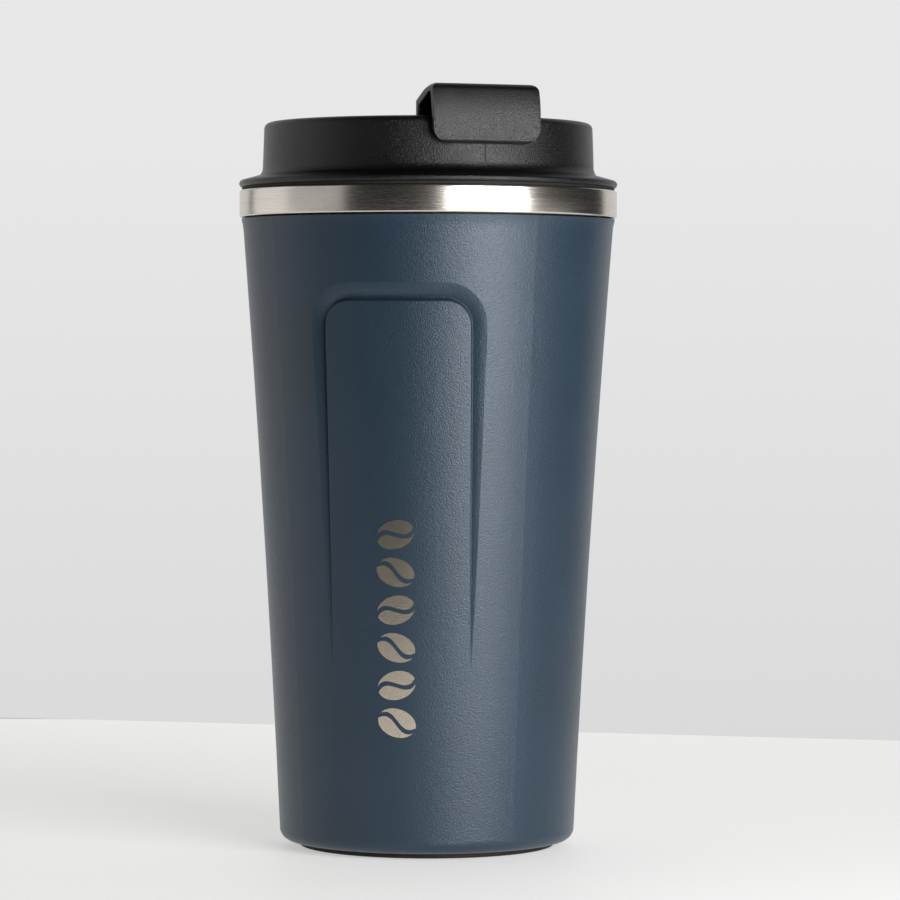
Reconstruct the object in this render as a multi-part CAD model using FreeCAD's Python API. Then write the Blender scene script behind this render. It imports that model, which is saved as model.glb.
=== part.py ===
import FreeCAD, Part
import math
import os

from FreeCAD import Vector as V

# Insulated travel mug: vacuum cup, push-in lid and flip tab.  Millimetres, +Z up, origin in the
# middle of the foot pad's underside.  The tab points to -Y and hinges about X.

# ---- cup ----------------------------------------------------------------------------------
FOOT_R, FOOT_H = 30.8, 1.3
WALL_T = 0.8                    # outer wall
CORNER_Z = 4.4                  # top of the rounded lower corner
UNDER_R = 32.5                  # where the corner meets the underside
FLARE_Z = 147.0                 # the wall turns outward above this
SHELL_TOP_R, SHELL_TOP_Z = 45.05, 151.0
BAND_R = 45.5
BAND_BOTTOM, MOUTH_Z = 151.35, 157.9
MOUTH_R = 41.0                  # clear bore of the mouth
LINER_T = 0.8
LINER_FLOOR = 9.0
LINER_CORNER = 9.0              # radius round the liner's floor
BASE_R = 33.9                   # outer base
PLUG_HOLE_R = 1.6               # evacuation hole
NECK_Z = 139.0                  # the straight mouth ends here
WALL_GAP = 4.0                  # from the outer face of the wall to the outer face of the liner

# ---- pressed groove -----------------------------------------------------------------------
GROOVE_AZ = -29.5               # middle of the front groove, degrees from -Y towards +X
GROOVE_TOP = 133.0
GROOVE_TIP = 45.3
GROOVE_BEND = 8.0
GROOVE_HALF = 26.5              # half angle between the legs
GROOVE_W = 4.3
GROOVE_D = 1.25
GROOVE_STEEP = 0.18             # share of the width taken by the steep inner flank
GROOVE_EASE = 8.0               # slope of the shallow flank where it meets the wall, degrees

# ---- etched mark --------------------------------------------------------------------------
MARK_AZ = -30.3
MARK_LOW, MARK_HIGH = 28.0, 81.0
MARK_W = 9.2
MARK_COUNT = 6
MARK_T = 0.1

# ---- lid ----------------------------------------------------------------------------------
LID_R_TOP, LID_R_LOW = 39.6, 39.9
LID_TOP = 174.1
RIM_IN_R = 36.4
DECK_Z, DECK_T = 168.0, 2.0     # floor of the recessed top
FLANGE_R = 45.6
FLANGE_LOW = 158.6
FLANGE_IN, FLANGE_EDGE = 161.5, 160.3
PLUG_R = 40.2
PLUG_WALL = 1.8
PLUG_SPLIT, PLUG_LOW = 152.0, 141.5
PLUG_FLOOR = 1.8
SEAL_LOW, SEAL_HIGH = 144.6, 148.6
SEAL_R = 40.85
SIP_Y, SIP_LONG, SIP_WIDE = -29.0, 16.0, 7.6
DUCT_T = 1.4
SEAM_W, SEAM_D = 0.25, 0.22     # parting line of the mould, down the front of the wall

# ---- flip tab -----------------------------------------------------------------------------
PIN_Y, PIN_Z, PIN_R = 3.0, 171.6, 1.25
PIN_HALF = 12.0
PIN_PLAY = 0.05
BARREL_R, BARREL_HALF = 3.0, 8.2
EAR_IN, EAR_OUT = 8.5, 12.0
TAB_FRONT = 41.9
TAB_W = 26.4
TAB_LOW, TAB_HIGH = 167.5, 181.5
TAB_FACE_R = 20.0               # upright curve of the head's front, above its middle
TAB_LEAN = 19.0                 # lean of the front where it meets the top edge, degrees
TAB_EDGE_R = 2.2                # top edge
TAB_FALL = 22.0                 # slope of the head's top towards the back, degrees
TAB_SKIRT = 1.6
TAB_BOW = 300.0
TAB_BACK = 29.2
TAB_REAR_T = 1.2                # rear wall, reaching down inside the lid's rim
ARM_W = 16.4
ARM_LOW, ARM_HIGH = 169.0, 174.9
ARM_FRONT, RAMP_END, RAMP_TOP = 34.6, 25.0, 177.4
POCKET_IN = 8.6                 # the head is hollow outside this, each side of the arm


def shell_radius(z):
    """Outer radius of the flaring wall at a height."""
    t = z / 100.0
    return 35.36 + 4.61 * t + 1.07 * t * t


def around(az, radius, z):
    """Point at an angle from -Y, turning towards +X."""
    a = math.radians(az)
    return V(radius * math.sin(a), -radius * math.cos(a), z)


def rz(radius, z):
    return V(radius, 0, z)


def line(a, b):
    return Part.makeLine(a, b)


def arc(a, mid, b):
    return Part.Arc(a, mid, b).toShape()


def bowed(a, mid, b):
    """Quadratic curve through three points, the middle one at half height."""
    curve = Part.BezierCurve()
    curve.setPoles([a, mid * 2 - (a + b) * 0.5, b])
    return curve.toShape()


def turned(edges):
    """Solid of revolution about Z from the edges of a closed profile."""
    face = Part.Face(Part.Wire(Part.__sortEdges__(edges)))
    return face.revolve(V(0, 0, 0), V(0, 0, 1), 360)


def turned_polygon(points):
    wire = Part.makePolygon([rz(r, z) for r, z in points] + [rz(*points[0])])
    return Part.Face(wire).revolve(V(0, 0, 0), V(0, 0, 1), 360)


def save(shape, name):
    shape.exportStep("parts/" + name + ".step")


def wall_body(inset):
    """Solid plug bounded by the outer wall's face, moved inward by an inset."""
    def face(z):
        return rz(shell_radius(z) - inset, z)

    under = rz(UNDER_R - 0.35 * inset, FOOT_H + inset)
    low, high = face(CORNER_Z), face(FLARE_Z)
    roll = 0.29 * (CORNER_Z - FOOT_H)
    knee = rz(low.x - roll + 0.05, FOOT_H + inset + roll - 0.25 * inset)
    lip = rz(SHELL_TOP_R - inset, SHELL_TOP_Z)
    edges = [
        line(rz(0, FOOT_H + inset), under),
        arc(under, knee, low),
        arc(high, rz(high.x + 0.21, FLARE_Z + 2.2), lip),
        line(lip, rz(0, SHELL_TOP_Z)),
        line(rz(0, SHELL_TOP_Z), rz(0, FOOT_H + inset)),
    ]
    levels = [CORNER_Z, GROOVE_TIP - 4.0, GROOVE_TOP + 5.0, FLARE_Z]
    for z0, z1 in zip(levels, levels[1:]):
        edges.append(bowed(face(z0), face(0.5 * (z0 + z1)), face(z1)))
    profile = Part.Face(Part.Wire(Part.__sortEdges__(edges)))
    profile.rotate(V(0, 0, 0), V(0, 0, 1), GROOVE_AZ + 45.0)
    quarters = []
    for i in range(4):
        quarter = profile.revolve(V(0, 0, 0), V(0, 0, 1), 90)
        quarter.rotate(V(0, 0, 0), V(0, 0, 1), 90.0 * i)
        quarters.append(quarter)
    return quarters[0].fuse(quarters[1:])


def groove_stations():
    """Middle line of the inverted U: (azimuth, z, width factor), tip to tip."""
    half = []
    leg_top = GROOVE_TOP - GROOVE_BEND
    steps = 8
    for i in range(steps):
        t = i / steps
        z = GROOVE_TIP + (leg_top - GROOVE_TIP) * t
        width = 0.06 + 0.94 * t ** 0.85
        inner = 25.6 - 1.9 * t
        az = inner + math.degrees(0.5 * GROOVE_W * width / shell_radius(z))
        half.append((az, z, width))
    bend = math.degrees(GROOVE_BEND / shell_radius(leg_top))
    for i in range(7):
        a = math.radians(15.0 * i)
        az = GROOVE_HALF - bend * (1 - math.cos(a))
        half.append((az, leg_top + GROOVE_BEND * math.sin(a), 1.0))
    for i in (1, 2):
        half.append(((GROOVE_HALF - bend) * (1 - i / 3.0), GROOVE_TOP, 1.0))
    right = half + [(0.0, GROOVE_TOP, 1.0)]
    left = [(-az, z, w) for az, z, w in reversed(half)]
    return right + left


def groove_tool(az_mid, extra):
    """Swept groove, a steep flank inside and a curved ramp outside; extra makes it bigger."""
    stations = groove_stations()
    points = [around(az_mid + az, shell_radius(z), z) for az, z, w in stations]
    clear = 0.35
    ratio = (1.0 - GROOVE_STEEP) * GROOVE_W / GROOVE_D
    ease = math.radians(GROOVE_EASE)
    sag = 0.5 * math.tan(0.5 * (math.atan(1.0 / ratio) - ease))
    wires = []
    for i, (az, z, w) in enumerate(stations):
        ahead = points[min(i + 1, len(points) - 1)] - points[max(i - 1, 0)]
        out = around(az_mid + az, 1.0, -0.07)
        side = ahead.cross(out).normalize()
        out = side.cross(ahead).normalize()
        depth = GROOVE_D * w + 1.15 * extra
        inner = GROOVE_STEEP * GROOVE_W / GROOVE_D
        apex = points[i] - side * ((0.5 - GROOVE_STEEP) * GROOVE_W * w) - out * depth
        edge = apex + side * (ratio * depth) + out * depth
        p1 = edge + side * (clear / math.tan(ease)) + out * clear
        p2 = apex + side * (0.12 * depth) + out * (0.07 * depth)
        chord = edge - p2
        bulge = p2 + chord * 0.5 + chord.cross(ahead).normalize() * (sag * chord.Length)
        p4 = apex - side * (inner * (depth + clear)) + out * (depth + clear)
        wires.append(Part.Wire([line(p4, p1), line(p1, edge), arc(edge, bulge, p2), line(p2, apex),
                                line(apex, p4)]))
    return Part.makeLoft(wires, True, False)


def outer_shell():
    """Drawn steel wall, powder coated, with the groove pressed in front and back."""
    outside = wall_body(0.0)
    inside = wall_body(WALL_T)
    for az in (GROOVE_AZ, GROOVE_AZ + 180.0):
        outside = outside.cut(groove_tool(az, 0.0))
        inside = inside.cut(groove_tool(az, WALL_T))
    opening = Part.makeCylinder(FOOT_R + 0.22, 4, V(0, 0, 0))
    top = Part.makeCylinder(SHELL_TOP_R - WALL_T, 4, V(0, 0, SHELL_TOP_Z - 0.5))
    return outside.cut(inside).cut(opening).cut(top)


def rim_band():
    """Bare steel ring that closes the vacuum space at the mouth."""
    neck = SHELL_TOP_R - WALL_T - 0.5
    neck_low = SHELL_TOP_Z - 1.8
    r = 0.55
    k = r * (1 - math.sqrt(0.5))
    edges = [
        line(rz(MOUTH_R, MOUTH_Z), rz(BAND_R - r, MOUTH_Z)),
        arc(rz(BAND_R - r, MOUTH_Z), rz(BAND_R - k, MOUTH_Z - k), rz(BAND_R, MOUTH_Z - r)),
        line(rz(BAND_R, MOUTH_Z - r), rz(BAND_R, BAND_BOTTOM + r)),
        arc(rz(BAND_R, BAND_BOTTOM + r), rz(BAND_R - k, BAND_BOTTOM + k), rz(BAND_R - r, BAND_BOTTOM)),
        line(rz(BAND_R - r, BAND_BOTTOM), rz(neck, BAND_BOTTOM)),
        line(rz(neck, BAND_BOTTOM), rz(neck, neck_low)),
        line(rz(neck, neck_low), rz(neck - 0.6, neck_low)),
        line(rz(neck - 0.6, neck_low), rz(neck - 0.6, MOUTH_Z - 1.0)),
        line(rz(neck - 0.6, MOUTH_Z - 1.0), rz(MOUTH_R, MOUTH_Z - 1.0)),
        line(rz(MOUTH_R, MOUTH_Z - 1.0), rz(MOUTH_R, MOUTH_Z)),
    ]
    return turned(edges)


def liner_body(inset):
    """Solid plug bounded by the liner's outer face, moved inward by an inset."""
    shoulder = NECK_Z - 4.0
    corner = LINER_CORNER
    floor = LINER_FLOOR - LINER_T + inset
    low_r = shell_radius(floor + corner) - WALL_GAP - inset
    mid_z = 0.5 * (floor + corner + shoulder)
    neck_r = MOUTH_R + LINER_T - inset
    top_z = MOUTH_Z - 1.0 + inset
    low = rz(low_r, floor + corner)
    high = rz(shell_radius(shoulder) - WALL_GAP - inset, shoulder)
    k = corner * (1 - math.sqrt(0.5))
    edges = [
        line(rz(0, floor), rz(low_r - corner, floor)),
        arc(rz(low_r - corner, floor), rz(low_r - k, floor + k), low),
        bowed(low, rz(shell_radius(mid_z) - WALL_GAP - inset, mid_z), high),
        line(high, rz(neck_r, NECK_Z)),
        line(rz(neck_r, NECK_Z), rz(neck_r, top_z)),
        line(rz(neck_r, top_z), rz(0, top_z)),
        line(rz(0, top_z), rz(0, floor)),
    ]
    return turned(edges)


def inner_liner():
    """Drawn steel liner that holds the drink, welded to the band at the mouth."""
    return liner_body(0.0).cut(liner_body(LINER_T))


def outer_base():
    """Pressed bottom of the outer wall, stepped, with the evacuation hole."""
    r, hole = BASE_R, PLUG_HOLE_R
    return turned_polygon([(hole, 5.0), (20.0, 5.0), (22.0, 3.6), (r - 1.0, 3.6), (r - 1.0, 3.3),
                           (r, 3.3), (r, 4.4), (22.3, 4.4), (20.3, 5.8), (hole, 5.8)])


def vacuum_plug():
    """Brazed bead that seals the evacuation hole."""
    stem = Part.makeCylinder(PLUG_HOLE_R, 0.8, V(0, 0, 5.0))
    cap = Part.makeCylinder(3.0, 0.9, V(0, 0, 4.1))
    return stem.fuse(cap).removeSplitter()


def getter():
    """Gas getter pellet stuck to the inside of the outer base."""
    return Part.makeCylinder(4.0, 1.2, V(12.0, 0, 5.8))


def base_cover():
    """Steel plate that hides the evacuation hole."""
    r = FOOT_R + 0.2
    return turned_polygon([(0, FOOT_H), (r, FOOT_H), (r, FOOT_H + 0.8), (26.0, FOOT_H + 0.8),
                           (25.0, FOOT_H + 1.4), (0, FOOT_H + 1.4)])


def foot_pad():
    """Non-slip silicone disc, dished in the middle."""
    r = 0.5
    edges = [
        line(rz(0, FOOT_H), rz(FOOT_R, FOOT_H)),
        line(rz(FOOT_R, FOOT_H), rz(FOOT_R, r)),
        arc(rz(FOOT_R, r), rz(FOOT_R - 0.146, 0.146), rz(FOOT_R - r, 0)),
        line(rz(FOOT_R - r, 0), rz(22.0, 0)),
        line(rz(22.0, 0), rz(21.5, 0.5)),
        line(rz(21.5, 0.5), rz(0, 0.5)),
        line(rz(0, 0.5), rz(0, FOOT_H)),
    ]
    return turned(edges)


def bean_outline(width, height, gap):
    """Two halves of a bean seen from the front, split by a bent seam, in the XZ plane."""
    a, b = 0.5 * width, 0.5 * height
    ellipse = Part.Ellipse(V(0, 0, 0), a, b).toShape()
    face = Part.Face(Part.Wire([ellipse]))
    bend = 0.34 * b
    seam = []
    for s in (-0.5 * gap, 0.5 * gap):
        seam.append([V(-1.05 * a, s, 0), V(-0.45 * a, s + bend, 0), V(0, s, 0),
                     V(0.45 * a, s - bend, 0), V(1.05 * a, s, 0)])
    lower = Part.BSplineCurve()
    lower.interpolate(seam[0])
    upper = Part.BSplineCurve()
    upper.interpolate(seam[1])
    strip = Part.Face(Part.Wire([lower.toShape(), line(seam[0][-1], seam[1][-1]),
                                 upper.toShape(), line(seam[1][0], seam[0][0])]))
    return face.cut(strip)


def etched_mark():
    """Column of plain bean shapes where the coating is taken off down to bare steel."""
    pitch = (MARK_HIGH - MARK_LOW) / MARK_COUNT
    skin = wall_body(-MARK_T).cut(wall_body(0.0))
    pieces = []
    for i in range(MARK_COUNT):
        bean = bean_outline(MARK_W, pitch - 2.2, 1.1)
        tilt = 18.0 if i % 2 else -18.0
        bean.rotate(V(0, 0, 0), V(0, 0, 1), tilt)
        bean.rotate(V(0, 0, 0), V(1, 0, 0), 90)
        bean.translate(V(0, -20.0, MARK_LOW + (i + 0.5) * pitch))
        prism = bean.extrude(V(0, -40, 0))
        prism.rotate(V(0, 0, 0), V(0, 0, 1), MARK_AZ)
        pieces += skin.common(prism).Solids
    return Part.makeCompound(pieces)


def slot_prism(length, width, low, high):
    """Upright rounded slot, long side along X, centred on the sip opening."""
    r = 0.5 * width
    half = 0.5 * length - r
    a, b = V(-half, -r, 0), V(half, -r, 0)
    c, d = V(half, r, 0), V(-half, r, 0)
    wire = Part.Wire([line(a, b), arc(b, V(half + r, 0, 0), c), line(c, d), arc(d, V(-half - r, 0, 0), a)])
    prism = Part.Face(wire).extrude(V(0, 0, high - low))
    prism.translate(V(0, SIP_Y, low))
    return prism


def lid_ring():
    """Wall, rounded rim, flange and short skirt of the lid as one turned section."""
    fillet = 2.4
    top_r = 1.5
    k = top_r * (1 - math.sqrt(0.5))
    wall = LID_R_TOP
    foot = rz(LID_R_LOW, FLANGE_IN + fillet)
    neck = rz(LID_R_LOW + 0.75, FLANGE_IN)
    edges = [
        line(rz(RIM_IN_R + 0.6, LID_TOP), rz(wall - top_r, LID_TOP)),
        arc(rz(wall - top_r, LID_TOP), rz(wall - k, LID_TOP - k), rz(wall, LID_TOP - top_r)),
        line(rz(wall, LID_TOP - top_r), foot),
        arc(foot, rz(LID_R_LOW + 0.2, FLANGE_IN + 0.9), neck),
        line(neck, rz(FLANGE_R - 0.6, FLANGE_EDGE)),
        arc(rz(FLANGE_R - 0.6, FLANGE_EDGE), rz(FLANGE_R - 0.02, FLANGE_EDGE - 0.7),
            rz(FLANGE_R - 0.6, FLANGE_LOW)),
        line(rz(FLANGE_R - 0.6, FLANGE_LOW), rz(PLUG_R, FLANGE_LOW)),
        line(rz(PLUG_R, FLANGE_LOW), rz(PLUG_R, PLUG_SPLIT)),
        line(rz(PLUG_R, PLUG_SPLIT), rz(PLUG_R - PLUG_WALL, PLUG_SPLIT)),
        line(rz(PLUG_R - PLUG_WALL, PLUG_SPLIT), rz(PLUG_R - PLUG_WALL, DECK_Z - DECK_T - 2.0)),
        line(rz(PLUG_R - PLUG_WALL, DECK_Z - DECK_T - 2.0), rz(RIM_IN_R, DECK_Z - DECK_T)),
        line(rz(RIM_IN_R, DECK_Z - DECK_T), rz(RIM_IN_R, LID_TOP - 0.6)),
        line(rz(RIM_IN_R, LID_TOP - 0.6), rz(RIM_IN_R + 0.6, LID_TOP)),
    ]
    return turned(edges)


def hinge_ear(side):
    """Upright ear beside the tab's barrel."""
    x = EAR_IN if side > 0 else -EAR_OUT
    wide = EAR_OUT - EAR_IN
    post = Part.makeBox(wide, 7.0, PIN_Z - DECK_Z, V(x, PIN_Y - 3.5, DECK_Z))
    crown = Part.makeCylinder(3.5, wide, V(x, PIN_Y, PIN_Z), V(1, 0, 0))
    return post.fuse(crown)


def lid_shell():
    """Grained polypropylene lid: recessed deck, rim, flange, sip duct and hinge ears."""
    deck = Part.makeCylinder(RIM_IN_R + 0.2, DECK_T, V(0, 0, DECK_Z - DECK_T))
    duct = slot_prism(SIP_LONG + 2 * DUCT_T, SIP_WIDE + 2 * DUCT_T, PLUG_LOW + PLUG_FLOOR, DECK_Z)
    lid = lid_ring().fuse(deck).fuse(duct)
    for side in (1, -1):
        lid = lid.fuse(hinge_ear(side))
    lid = lid.cut(slot_prism(SIP_LONG, SIP_WIDE, PLUG_LOW - 1, DECK_Z + 1))
    seam = V(-0.5 * SEAM_W, -LID_R_LOW - 2.0 + SEAM_D, FLANGE_IN + 2.0)
    lid = lid.cut(Part.makeBox(SEAM_W, 2.0, 9.0, seam))
    bore = Part.makeCylinder(PIN_R, 2 * PIN_HALF, V(-PIN_HALF, PIN_Y, PIN_Z), V(1, 0, 0))
    return lid.cut(bore).removeSplitter()


def lid_plug():
    """Lower half of the lid, welded to the skirt, with a seat for the seal."""
    inner = PLUG_R - PLUG_WALL
    seat = PLUG_R - 1.2
    body = turned_polygon([
        (0, PLUG_LOW), (PLUG_R - 1.4, PLUG_LOW), (PLUG_R - 0.4, PLUG_LOW + 1.0), (PLUG_R - 0.4, SEAL_LOW),
        (seat, SEAL_LOW), (seat, SEAL_HIGH), (PLUG_R, SEAL_HIGH), (PLUG_R, PLUG_SPLIT),
        (inner, PLUG_SPLIT), (inner, SEAL_HIGH + 1.2), (inner - 1.2, SEAL_HIGH),
        (inner - 1.2, PLUG_LOW + PLUG_FLOOR), (0, PLUG_LOW + PLUG_FLOOR)])
    return body.cut(slot_prism(SIP_LONG, SIP_WIDE, PLUG_LOW - 1, PLUG_SPLIT)).removeSplitter()


def lid_seal():
    """Silicone ring with two lips that grips the mouth."""
    seat = PLUG_R - 1.2
    lip = SEAL_R
    low, high = SEAL_LOW, SEAL_HIGH
    return turned_polygon([
        (seat, low), (lip - 0.5, low), (lip, low + 0.8), (lip - 0.6, low + 1.6),
        (lip - 0.6, high - 1.6), (lip, high - 0.8), (lip - 0.5, high), (seat, high)])


def rim_gasket():
    """Flat silicone washer under the flange."""
    low, high = MOUTH_Z + 0.1, FLANGE_LOW
    return turned_polygon([(42.0, low), (44.9, low), (44.9, high), (42.0, high)])


def hinge_pin():
    """Steel pin, pressed into the ears."""
    return Part.makeCylinder(PIN_R, 2 * PIN_HALF, V(-PIN_HALF, PIN_Y, PIN_Z), V(1, 0, 0))


def rounded_front():
    """Front outline of the tab's head, extruded through its depth."""
    half = 0.5 * TAB_W
    low_r, high_r = 3.8, 1.8
    z0, z1 = TAB_LOW, TAB_HIGH
    q = math.sqrt(0.5)

    def p(x, z):
        return V(x, -TAB_FRONT - 2.0, z)

    def corner(x, z, r, sx, sz):
        return arc(p(x, z + sz * r), p(x + sx * r * (1 - q), z + sz * r * (1 - q)), p(x + sx * r, z))

    edges = [
        line(p(-half + low_r, z0), p(half - low_r, z0)),
        corner(half, z0, low_r, -1, 1),
        line(p(half, z0 + low_r), p(half, z1 - high_r)),
        corner(half, z1, high_r, -1, -1),
        line(p(half - high_r, z1), p(-half + high_r, z1)),
        corner(-half, z1, high_r, 1, -1),
        line(p(-half, z1 - high_r), p(-half, z0 + low_r)),
        corner(-half, z0, low_r, 1, 1),
    ]
    face = Part.Face(Part.Wire(Part.__sortEdges__(edges)))
    return face.extrude(V(0, 30, 0))


def head_curve():
    """Points of the head's front and top as (y, z): start of the lean, top edge's start, crown
    and end, and the back edge."""
    lean, over = math.radians(TAB_LEAN), math.radians(TAB_FALL)
    r = TAB_EDGE_R
    shift = TAB_FACE_R * (1 - math.cos(lean))
    centre_y, centre_z = -TAB_FRONT + shift + r * math.cos(lean), TAB_HIGH - r
    edge = (centre_y - r * math.cos(lean), centre_z + r * math.sin(lean))
    start = (-TAB_FRONT, edge[1] - TAB_FACE_R * math.sin(lean))
    crown = (centre_y - r * math.sin(0.5), centre_z + r * math.cos(0.5))
    end = (centre_y + r * math.sin(over), centre_z + r * math.cos(over))
    back = (-TAB_BACK, end[1] - (-TAB_BACK - end[0]) * math.tan(over))
    return start, edge, crown, end, back


def yz_prism(edges, x, length):
    """Closed outline in the YZ plane, pushed along X from x."""
    face = Part.Face(Part.Wire(Part.__sortEdges__(edges)))
    face.translate(V(x, 0, 0))
    return face.extrude(V(length, 0, 0))


def bowed_head():
    """Tab's head from its side outline: bowed skirt, leaning front, top falling to a rear wall.
    It is turned through a few degrees about a far axis, so that the front is bowed sideways too."""
    start, edge, crown, end, back = [V(0, y, z) for y, z in head_curve()]
    inner = -TAB_FRONT + TAB_SKIRT
    under = LID_TOP + 0.5
    rear_low = DECK_Z + 1.2
    tuck = 0.35
    hem = V(0, -TAB_FRONT + tuck, TAB_LOW + 0.7)
    bow = V(0, -TAB_FRONT + 0.25 * tuck, 0.5 * (hem.z + start.z))
    half = math.radians(0.5 * TAB_LEAN)
    middle = V(0, -TAB_FRONT + TAB_FACE_R * (1 - math.cos(half)), start.z + TAB_FACE_R * math.sin(half))
    low = V(0, hem.y + 0.5, TAB_LOW)
    rear = [V(0, back.y, rear_low), V(0, back.y - TAB_REAR_T, rear_low), V(0, back.y - TAB_REAR_T, under),
            V(0, inner, under), V(0, inner, TAB_LOW)]
    edges = [line(low, hem), arc(hem, bow, start), arc(start, middle, edge), arc(edge, crown, end),
             line(end, back), line(back, rear[0]), line(rear[-1], low)]
    edges += [line(a, b) for a, b in zip(rear, rear[1:])]
    face = Part.Face(Part.Wire(Part.__sortEdges__(edges)))
    axis = V(0, TAB_BOW - TAB_FRONT, 0)
    turn = math.degrees(0.65 * TAB_W / TAB_BOW)
    face.rotate(axis, V(0, 0, 1), -turn)
    return face.revolve(axis, V(0, 0, 1), 2 * turn)


def head_pocket(side):
    """Hollow under the head's roof, open to one side, with the wall left one skirt thick."""
    start, edge, crown, end, back = head_curve()
    roof = TAB_SKIRT / math.cos(math.radians(TAB_FALL))
    front, rear = start[0] + TAB_SKIRT, -TAB_BACK - TAB_REAR_T
    slope = math.tan(math.radians(TAB_FALL))
    low = TAB_LOW - 1.0
    corners = [V(0, front, low), V(0, front, start[1]), V(0, edge[0] + TAB_SKIRT, edge[1] - 0.6),
               V(0, end[0], end[1] - roof), V(0, rear, end[1] - roof - (rear - end[0]) * slope),
               V(0, rear, low)]
    edges = [line(a, b) for a, b in zip(corners, corners[1:] + corners[:1])]
    return yz_prism(edges, POCKET_IN if side > 0 else -POCKET_IN - TAB_W, TAB_W)


def flap():
    """Flip tab: finger head over the rim, arm and hinge barrel in one moulding."""
    head = bowed_head().common(rounded_front())
    for side in (-1, 1):
        head = head.cut(head_pocket(side))
    reach = PIN_Y + ARM_FRONT
    arm = Part.makeBox(ARM_W, reach, ARM_HIGH - ARM_LOW, V(-0.5 * ARM_W, PIN_Y - reach, ARM_LOW))
    barrel = Part.makeCylinder(BARREL_R, 2 * BARREL_HALF, V(-BARREL_HALF, PIN_Y, PIN_Z), V(1, 0, 0))
    crown = Part.makeCylinder(ARM_HIGH - PIN_Z, 2 * BARREL_HALF, V(-BARREL_HALF, PIN_Y, PIN_Z), V(1, 0, 0))
    lower_half = Part.makeBox(40, 20, 20, V(-20, PIN_Y - 10, PIN_Z - 20))
    arm = arm.fuse(crown.cut(lower_half)).fuse(barrel)
    ramp = [V(0, -ARM_FRONT, ARM_LOW), V(0, -ARM_FRONT, RAMP_TOP), V(0, -TAB_BACK, RAMP_TOP),
            V(0, -RAMP_END, ARM_HIGH), V(0, -RAMP_END, ARM_LOW)]
    ramp = Part.Face(Part.makePolygon(ramp + ramp[:1])).extrude(V(ARM_W, 0, 0))
    ramp.translate(V(-0.5 * ARM_W, 0, 0))
    body = head.fuse(arm).fuse(ramp)
    bore = Part.makeCylinder(PIN_R + PIN_PLAY, 30, V(-15, PIN_Y, PIN_Z), V(1, 0, 0))
    body = body.cut(bore).removeSplitter()
    return body


def flap_stopper():
    """Silicone plug under the arm, tapered to lead into the sip opening."""
    wires = []
    for z, gap in ((ARM_LOW, 0.2), (DECK_Z - 0.4, 0.2), (DECK_Z - 3.2, 1.0)):
        r = 0.5 * SIP_WIDE - gap
        half = 0.5 * SIP_LONG - gap - r
        a, b = V(-half, SIP_Y - r, z), V(half, SIP_Y - r, z)
        c, d = V(half, SIP_Y + r, z), V(-half, SIP_Y + r, z)
        wires.append(Part.Wire([line(a, b), arc(b, V(half + r, SIP_Y, z), c), line(c, d),
                                arc(d, V(-half - r, SIP_Y, z), a)]))
    return Part.makeLoft(wires, True, True)


os.makedirs("parts", exist_ok=True)
save(outer_shell(), "outer_shell")
save(rim_band(), "rim_band")
save(inner_liner(), "inner_liner")
save(outer_base(), "outer_base")
save(vacuum_plug(), "vacuum_plug")
save(getter(), "getter")
save(base_cover(), "base_cover")
save(foot_pad(), "foot_pad")
save(etched_mark(), "etched_mark")
save(lid_shell(), "lid_shell")
save(lid_plug(), "lid_plug")
save(lid_seal(), "lid_seal")
save(rim_gasket(), "rim_gasket")
save(hinge_pin(), "hinge_pin")
save(flap(), "flap")
save(flap_stopper(), "flap_stopper")
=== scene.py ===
import math

import bpy
from mathutils import Matrix, Vector


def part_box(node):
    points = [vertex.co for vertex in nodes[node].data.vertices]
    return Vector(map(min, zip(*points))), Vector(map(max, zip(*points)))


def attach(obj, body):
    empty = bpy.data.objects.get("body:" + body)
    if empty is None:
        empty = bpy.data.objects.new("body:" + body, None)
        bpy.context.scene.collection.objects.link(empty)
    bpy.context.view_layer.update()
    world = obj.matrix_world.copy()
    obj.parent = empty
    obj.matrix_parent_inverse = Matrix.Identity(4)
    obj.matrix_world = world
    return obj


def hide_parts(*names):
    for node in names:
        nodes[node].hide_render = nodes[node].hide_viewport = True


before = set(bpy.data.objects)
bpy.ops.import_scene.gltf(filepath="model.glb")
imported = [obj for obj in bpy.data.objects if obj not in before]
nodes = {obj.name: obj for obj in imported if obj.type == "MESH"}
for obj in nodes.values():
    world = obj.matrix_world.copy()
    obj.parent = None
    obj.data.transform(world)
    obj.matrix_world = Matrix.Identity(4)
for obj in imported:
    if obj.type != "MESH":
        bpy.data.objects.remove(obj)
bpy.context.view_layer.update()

scene = bpy.context.scene
bpy.ops.object.select_all(action="DESELECT")


# ---- Outer wall ---------------------------------------------------------------------------
# Drawn stainless cup, welded to the rim band above and the base plate below, sprayed with slate
# blue powder and baked.  The powder melts into a satin skin with a fine grain that breaks up
# the edge of every highlight.

def shade(tree, kind, links=None, **settings):
    """Adds one shader node; an output in links is connected to its socket, anything else is set."""
    made = tree.nodes.new(kind)
    for name, value in settings.items():
        setattr(made, name, value)
    for name, value in (links or {}).items():
        if isinstance(value, bpy.types.NodeSocket):
            tree.links.new(value, made.inputs[name])
        else:
            made.inputs[name].default_value = value
    return made


def colour(hexcode, alpha=1.0):
    """sRGB hex to the linear values that a shader takes."""
    out = []
    for i in (0, 2, 4):
        c = int(hexcode[i:i + 2], 16) / 255.0
        out.append(c / 12.92 if c <= 0.04045 else ((c + 0.055) / 1.055) ** 2.4)
    return (out[0], out[1], out[2], alpha)


def new_finish(name):
    """A material with an empty node tree, and that tree."""
    finish = bpy.data.materials.new(name)
    finish.use_nodes = True
    finish.node_tree.nodes.clear()
    return finish, finish.node_tree


def dress(obj, material):
    """Gives a piece this one material and no other."""
    obj.data.materials.clear()
    obj.data.materials.append(material)


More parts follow.
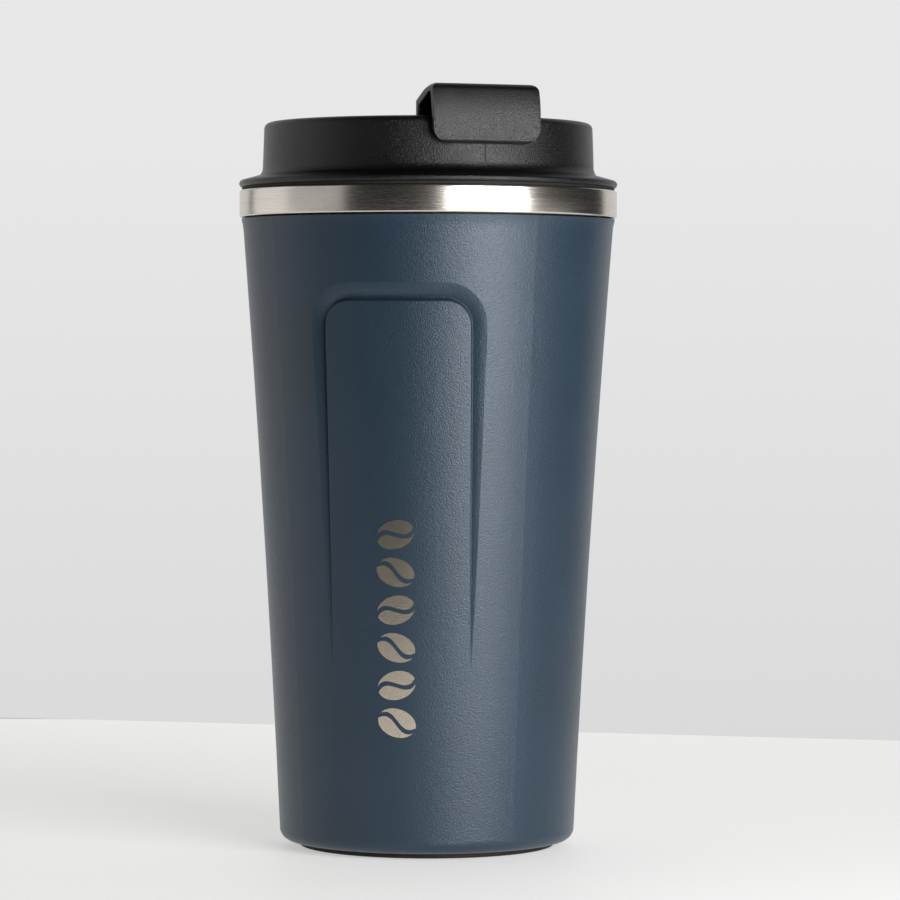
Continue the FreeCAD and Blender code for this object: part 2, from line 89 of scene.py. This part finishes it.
powder_coat, tree = new_finish("powder coat, slate blue, baked satin")
place = shade(tree, "ShaderNodeTexCoord").outputs["Object"]
# cloudy film thickness, 25 mm across: a slight shift in the blue
film = shade(tree, "ShaderNodeTexNoise", {"Vector": place, "Scale": 40.0, "Detail": 3.0, "Roughness": 0.55})
# powder grain, 0.35 mm: speckles in the highlight
grain = shade(tree, "ShaderNodeTexNoise", {"Vector": place, "Scale": 2900.0, "Detail": 2.0,
                                           "Roughness": 0.6})
# flow-out ripple of the melted powder, 1.4 mm
ripple = shade(tree, "ShaderNodeTexNoise", {"Vector": place, "Scale": 700.0, "Detail": 1.0})
tint = shade(tree, "ShaderNodeValToRGB", {"Fac": film.outputs["Fac"]})
tint.color_ramp.elements[0].position = 0.3
tint.color_ramp.elements[0].color = colour("1F2F3B")
tint.color_ramp.elements[1].position = 0.7
tint.color_ramp.elements[1].color = colour("233341")
rough = shade(tree, "ShaderNodeMapRange", {"Value": grain.outputs["Fac"], "From Min": 0.3, "From Max": 0.7,
                                           "To Min": 0.28, "To Max": 0.40})
# the powder flows round the groove's edges: 0.3 mm
edges = shade(tree, "ShaderNodeBevel", {"Radius": 0.0003}, samples=8)
bump_a = shade(tree, "ShaderNodeBump", {"Height": ripple.outputs["Fac"], "Normal": edges.outputs["Normal"],
                                        "Strength": 0.06, "Distance": 0.0004})
bump_b = shade(tree, "ShaderNodeBump", {"Height": grain.outputs["Fac"], "Normal": bump_a.outputs["Normal"],
                                        "Strength": 1.0, "Distance": 0.0001})
skin = shade(tree, "ShaderNodeBsdfPrincipled", {"Base Color": tint.outputs["Color"],
                                                "Roughness": rough.outputs["Result"], "IOR": 1.5,
                                                "Specular Tint": colour("EDF4FF"),
                                                "Normal": bump_b.outputs["Normal"]})
shade(tree, "ShaderNodeOutputMaterial", {"Surface": skin.outputs["BSDF"]})
dress(nodes["outer_shell"], powder_coat)


# ---- Rim band, liner and base plates --------------------------------------------------------
# Bare stainless sheet, welded to the outer wall.  Everything is brushed round, so the marks run
# level and stretch each reflection up and down.

brushed, tree = new_finish("stainless steel, brushed round")
place = shade(tree, "ShaderNodeTexCoord").outputs["Object"]
# brush marks: 0.12 mm apart up the wall, long round it
lines = shade(tree, "ShaderNodeMapping", {"Vector": place, "Scale": (60.0, 60.0, 8000.0)})
marks = shade(tree, "ShaderNodeTexNoise", {"Vector": lines.outputs["Vector"], "Scale": 1.0, "Detail": 3.0,
                                           "Roughness": 0.7})
tint = shade(tree, "ShaderNodeValToRGB", {"Fac": marks.outputs["Fac"]})
tint.color_ramp.elements[0].position = 0.3
tint.color_ramp.elements[0].color = colour("D4CBC1")
tint.color_ramp.elements[1].position = 0.7
tint.color_ramp.elements[1].color = colour("E8E2DA")
rough = shade(tree, "ShaderNodeMapRange", {"Value": marks.outputs["Fac"], "From Min": 0.3, "From Max": 0.7,
                                           "To Min": 0.24, "To Max": 0.29})
bump = shade(tree, "ShaderNodeBump", {"Height": marks.outputs["Fac"], "Strength": 0.15,
                                      "Distance": 0.00004})
around_z = shade(tree, "ShaderNodeTangent", direction_type="RADIAL", axis="Z")
steel = shade(tree, "ShaderNodeBsdfPrincipled", {"Base Color": tint.outputs["Color"], "Metallic": 1.0,
                                                 "Roughness": rough.outputs["Result"], "Anisotropic": 0.6,
                                                 "Tangent": around_z.outputs["Tangent"],
                                                 "Anisotropic Rotation": 0.25,
                                                 "Normal": bump.outputs["Normal"]})
shade(tree, "ShaderNodeOutputMaterial", {"Surface": steel.outputs["BSDF"]})
for name in ("inner_liner", "outer_base", "base_cover", "vacuum_plug", "getter"):
    dress(nodes[name], brushed)

# the band itself: a turned ring, its top flange rolled in to the liner, its neck inside the wall
SHEET = 0.0008
BAND_HEIGHT = 0.00655
FLANGE_LIP = 0.001
NECK_STEP = 0.00175
EDGE_ROLL = 0.0005
RING_SIDES = 360
CORNER_TURN = math.radians(60)
ROUND_TURN = math.radians(50)
NEAR = 1e-5
low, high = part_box("rim_band")
band_r = high.x
mouth_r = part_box("inner_liner")[1].x - SHEET
wall_low = high.z - BAND_HEIGHT
bpy.ops.mesh.primitive_cylinder_add(vertices=RING_SIDES, radius=band_r, depth=high.z - wall_low,
                                    end_fill_type="NOTHING")
band = bpy.context.object
band.name = "rim_band_turned"


def pick(obj, keep):
    """Selects, in edit mode, the vertices whose place passes a test."""
    bpy.ops.mesh.select_all(action="DESELECT")
    bpy.ops.object.mode_set(mode="OBJECT")
    for v in obj.data.vertices:
        v.select = keep(v.co)
    bpy.ops.object.mode_set(mode="EDIT")


bpy.ops.object.mode_set(mode="EDIT")
bpy.ops.mesh.select_mode(type="VERT")
bpy.ops.mesh.select_all(action="SELECT")
bpy.ops.transform.translate(value=(0, 0, 0.5 * (wall_low + high.z)))
pick(band, lambda c: c.z > high.z - NEAR)
bpy.ops.mesh.extrude_region_move()
bpy.ops.transform.resize(value=(mouth_r / band_r, mouth_r / band_r, 1))
bpy.ops.mesh.extrude_region_move(TRANSFORM_OT_translate={"value": (0, 0, -FLANGE_LIP)})
pick(band, lambda c: abs(c.z - wall_low) < NEAR)
bpy.ops.mesh.extrude_region_move()
neck = (band_r - NECK_STEP) / band_r
bpy.ops.transform.resize(value=(neck, neck, 1))
bpy.ops.mesh.extrude_region_move(TRANSFORM_OT_translate={"value": (0, 0, low.z - wall_low)})
bpy.ops.mesh.select_all(action="SELECT")
bpy.ops.mesh.normals_make_consistent(inside=False)
bpy.ops.object.mode_set(mode="OBJECT")
rolled = band.modifiers.new("rolled edges", "BEVEL")
rolled.width = EDGE_ROLL
rolled.segments = 4
rolled.limit_method = "ANGLE"
rolled.angle_limit = CORNER_TURN
bpy.ops.object.modifier_apply(modifier=rolled.name)
bpy.ops.object.shade_smooth_by_angle(angle=ROUND_TURN)
dress(band, brushed)
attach(band, "cup")
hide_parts("rim_band")


# ---- Etched mark --------------------------------------------------------------------------
# A column of beans burnt through the coating by a laser.  What shows is the bare wall, scanned
# in fine lines, so it is faintly warm and a little uneven.

etched, tree = new_finish("stainless steel, laser etched")
place = shade(tree, "ShaderNodeTexCoord").outputs["Object"]
# laser scan, far finer on a real wall: drawn 0.33 mm apart so that it shows
scan = shade(tree, "ShaderNodeTexNoise", {"Vector": place, "Scale": 3000.0, "Detail": 2.0})
tint = shade(tree, "ShaderNodeValToRGB", {"Fac": scan.outputs["Fac"]})
tint.color_ramp.elements[0].position = 0.3
tint.color_ramp.elements[0].color = colour("C4B8A6")
tint.color_ramp.elements[1].position = 0.7
tint.color_ramp.elements[1].color = colour("DDD3C4")
bump = shade(tree, "ShaderNodeBump", {"Height": scan.outputs["Fac"], "Strength": 0.3, "Distance": 0.00003})
metal = shade(tree, "ShaderNodeBsdfPrincipled", {"Base Color": tint.outputs["Color"], "Metallic": 1.0,
                                                 "Roughness": 0.24, "Normal": bump.outputs["Normal"]})
shade(tree, "ShaderNodeOutputMaterial", {"Surface": metal.outputs["BSDF"]})
dress(nodes["etched_mark"], etched)


# ---- Lid and flip tab ---------------------------------------------------------------------
# Injection-moulded black polypropylene: shell and plug are welded, the tab turns on a steel pin.
# The mould is spark-eroded, which leaves a fine grain on every face and a soft grey sheen
# instead of a sharp highlight.

moulded, tree = new_finish("polypropylene, black, spark-eroded grain")
place = shade(tree, "ShaderNodeTexCoord").outputs["Object"]
# spark-eroded grain, 0.3 mm
grit = shade(tree, "ShaderNodeTexNoise", {"Vector": place, "Scale": 3500.0, "Detail": 2.0,
                                          "Roughness": 0.6})
# flow of the melt, 17 mm across: hardly darker or lighter
flow = shade(tree, "ShaderNodeTexNoise", {"Vector": place, "Scale": 60.0, "Detail": 3.0})
tint = shade(tree, "ShaderNodeValToRGB", {"Fac": flow.outputs["Fac"]})
tint.color_ramp.elements[0].position = 0.3
tint.color_ramp.elements[0].color = colour("060606")
tint.color_ramp.elements[1].position = 0.7
tint.color_ramp.elements[1].color = colour("0A0A0A")
rough = shade(tree, "ShaderNodeMapRange", {"Value": grit.outputs["Fac"], "From Min": 0.3, "From Max": 0.7,
                                           "To Min": 0.27, "To Max": 0.37})
bump = shade(tree, "ShaderNodeBump", {"Height": grit.outputs["Fac"], "Strength": 1.0, "Distance": 0.00015})
plastic = shade(tree, "ShaderNodeBsdfPrincipled", {"Base Color": tint.outputs["Color"],
                                                   "Roughness": rough.outputs["Result"], "IOR": 1.49,
                                                   "Specular IOR Level": 0.44,
                                                   "Normal": bump.outputs["Normal"]})
shade(tree, "ShaderNodeOutputMaterial", {"Surface": plastic.outputs["BSDF"]})


SAME_POINT = 0.000005
FLAT_TURN = math.radians(0.4)
EDGE_TURN = math.radians(25)
SMOOTH_TURN = math.radians(40)


def softened(node, name, width, segments):
    """Copies a CAD node, joins its faces up and rounds the edges that turn by more than EDGE_TURN."""
    bpy.ops.object.select_all(action="DESELECT")
    piece = nodes[node].copy()
    piece.data = nodes[node].data.copy()
    piece.name = name
    scene.collection.objects.link(piece)
    bpy.context.view_layer.objects.active = piece
    piece.select_set(True)
    bpy.ops.mesh.customdata_custom_splitnormals_clear()
    bpy.ops.object.mode_set(mode="EDIT")
    bpy.ops.mesh.select_all(action="SELECT")
    bpy.ops.mesh.remove_doubles(threshold=SAME_POINT)
    bpy.ops.mesh.dissolve_limited(angle_limit=FLAT_TURN)
    bpy.ops.object.mode_set(mode="OBJECT")
    round_off = piece.modifiers.new("rounding", "BEVEL")
    round_off.width = width
    round_off.segments = segments
    round_off.limit_method = "ANGLE"
    round_off.angle_limit = EDGE_TURN
    round_off.use_clamp_overlap = True
    bpy.ops.object.modifier_apply(modifier=round_off.name)
    bpy.ops.object.shade_smooth_by_angle(angle=SMOOTH_TURN)
    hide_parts(node)
    return piece


lid_moulding = softened("lid_shell", "lid_moulding", width=0.0003, segments=2)
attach(lid_moulding, "lid")
dress(lid_moulding, moulded)
tab_moulding = softened("flap", "tab_moulding", width=0.0007, segments=3)
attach(tab_moulding, "flap")
dress(tab_moulding, moulded)
dress(nodes["lid_plug"], moulded)
dress(nodes["hinge_pin"], brushed)


# ---- Silicone: foot pad, seal ring, gasket, stopper ------------------------------------------
# Compression-moulded silicone: the pad is glued under the base, the rings are stretched over the
# lid, the stopper is pushed into the tab.  It is matt and faintly dusty.

silicone, tree = new_finish("silicone, black, matt")
place = shade(tree, "ShaderNodeTexCoord").outputs["Object"]
# dust and mould grain, 1.1 mm
dust = shade(tree, "ShaderNodeTexNoise", {"Vector": place, "Scale": 900.0, "Detail": 3.0})
tint = shade(tree, "ShaderNodeValToRGB", {"Fac": dust.outputs["Fac"]})
tint.color_ramp.elements[0].position = 0.35
tint.color_ramp.elements[0].color = colour("0E0E0F")
tint.color_ramp.elements[1].position = 0.75
tint.color_ramp.elements[1].color = colour("191919")
matt = shade(tree, "ShaderNodeBump", {"Height": dust.outputs["Fac"], "Strength": 0.4, "Distance": 0.0001})
rubber = shade(tree, "ShaderNodeBsdfPrincipled", {"Base Color": tint.outputs["Color"], "Roughness": 0.7,
                                                  "IOR": 1.41, "Normal": matt.outputs["Normal"]})
shade(tree, "ShaderNodeOutputMaterial", {"Surface": rubber.outputs["BSDF"]})
for name in ("foot_pad", "lid_seal", "rim_gasket", "flap_stopper"):
    dress(nodes[name], silicone)


# ---- Floor --------------------------------------------------------------------------------
# Pale matt board on a table, laid a little askew to the camera.  Its faint glow is painted light:
# it stands in for the bright room's light on the board and lightens the mug's shadow on it.

VIEW_AZ = math.radians(-19.3)
BOARD_ASKEW = math.radians(15.0)
BOARD_WIDTH, BOARD_DEPTH = 2.4, 0.605
BOARD_SHIFT = 0.0025
BOARD_GAP = 0.0002


def seen(right, away, up):
    """A place given as right of, beyond and above the mug for someone at the camera."""
    return Matrix.Rotation(VIEW_AZ, 4, "Z") @ Vector((right, away, up))


pale_board_painted_glow, tree = new_finish("board, pale matt, painted glow")
# the emission is painted light: a glow in place of room light, which also lightens shadows on the board
board = shade(tree, "ShaderNodeBsdfPrincipled", {"Base Color": colour("DCDCDC"), "Roughness": 0.6,
                                                 "Emission Color": colour("FFFEFC"),
                                                 "Emission Strength": 0.445})
shade(tree, "ShaderNodeOutputMaterial", {"Surface": board.outputs["BSDF"]})

bpy.ops.mesh.primitive_plane_add(size=1.0)
floor = bpy.context.object
floor.name = "floor"
bpy.ops.object.mode_set(mode="EDIT")
bpy.ops.transform.resize(value=(BOARD_WIDTH, BOARD_DEPTH, 1))
bpy.ops.transform.translate(value=(0, BOARD_SHIFT, -BOARD_GAP))
bpy.ops.object.mode_set(mode="OBJECT")
floor.rotation_euler = (0, 0, VIEW_AZ - BOARD_ASKEW)
dress(floor, pale_board_painted_glow)


# ---- Light --------------------------------------------------------------------------------
# One broad softbox in front on the right, two white cards on the left and a lit sheet of paper
# behind.  The room itself is nearly dark.

def softbox(name, turn, distance, centre, width, height, watts):
    """Rectangular area light at a turn to the right of the camera, facing the mug."""
    angle = math.radians(turn)
    where = seen(distance * math.sin(angle), -distance * math.cos(angle), centre)
    bpy.ops.object.light_add(type="AREA", location=where)
    lamp = bpy.context.object
    lamp.name = name
    lamp.data.shape = "RECTANGLE"
    lamp.data.size = width
    lamp.data.size_y = height
    lamp.data.energy = watts
    lamp.rotation_euler = (Vector((0, 0, centre)) - where).to_track_quat("-Z", "Y").to_euler()
    return lamp


key = softbox("key softbox", turn=35.5, distance=0.62, centre=0.16, width=0.49, height=0.28, watts=5.3)
near_card = softbox("left card, near", turn=-72.0, distance=0.8, centre=0.35, width=0.62, height=0.8,
                    watts=0.72)
far_card = softbox("left card, far", turn=-112.0, distance=0.8, centre=0.35, width=0.55, height=0.8,
                   watts=1.08)
paper = softbox("backdrop paper", turn=177.0, distance=0.34, centre=0.40, width=0.75, height=0.8,
                watts=1.25)
paper.visible_camera = False

# the camera sees pale paper all round, with painted shade darkening it toward the horizon;
# the mug sees little but the lamps and the board
world = bpy.data.worlds.new("pale paper")
scene.world = world
world.use_nodes = True
tree = world.node_tree
tree.nodes.clear()
ray = shade(tree, "ShaderNodeTexCoord").outputs["Generated"]
direction = shade(tree, "ShaderNodeSeparateXYZ", {"Vector": ray})
# painted shade: the backdrop seen by the camera dims from 0.81 to 0.71 toward the horizon
backdrop_painted_shade = shade(tree, "ShaderNodeMapRange", {"Value": direction.outputs["Z"], "From Min": -0.09,
                                          "From Max": 0.05, "To Min": 0.71, "To Max": 0.81})
sight = shade(tree, "ShaderNodeLightPath")
strength = shade(tree, "ShaderNodeMix", {0: sight.outputs["Is Camera Ray"], 2: 0.02,
                                         3: backdrop_painted_shade.outputs["Result"]})
room = shade(tree, "ShaderNodeBackground", {"Color": colour("FEFEFF"), "Strength": strength.outputs[0]})
shade(tree, "ShaderNodeOutputWorld", {"Surface": room.outputs["Background"]})


# ---- Camera -------------------------------------------------------------------------------
# Long lens a metre away, at two thirds of the mug's height, so the lid's top stays out of sight.
# It is tipped down by a degree and hardly turned.

scene.view_settings.view_transform = "Standard"
PITCH, ROLL, YAW = math.radians(-1.326), math.radians(0.142), math.radians(0.303)
STAND_OFF, EYE_HEIGHT = 1.0218, 0.11904
LENS, SENSOR = 169.1, 36.0
ahead = Vector((math.sin(YAW) * math.cos(PITCH), math.cos(YAW) * math.cos(PITCH), math.sin(PITCH)))
right = Vector((math.cos(YAW), -math.sin(YAW), 0))
up = right.cross(ahead)
right, up = right * math.cos(ROLL) + up * math.sin(ROLL), up * math.cos(ROLL) - right * math.sin(ROLL)
bpy.ops.object.camera_add()
camera = bpy.context.object
camera.data.lens = LENS
camera.data.sensor_width = SENSOR
camera.data.clip_start = 0.01
camera.data.clip_end = 20.0
turn = Matrix((right, up, -ahead)).transposed().to_4x4()
spot = Matrix.Translation((0, -STAND_OFF, EYE_HEIGHT))
camera.matrix_world = Matrix.Rotation(VIEW_AZ, 4, "Z") @ spot @ turn
scene.camera = camera
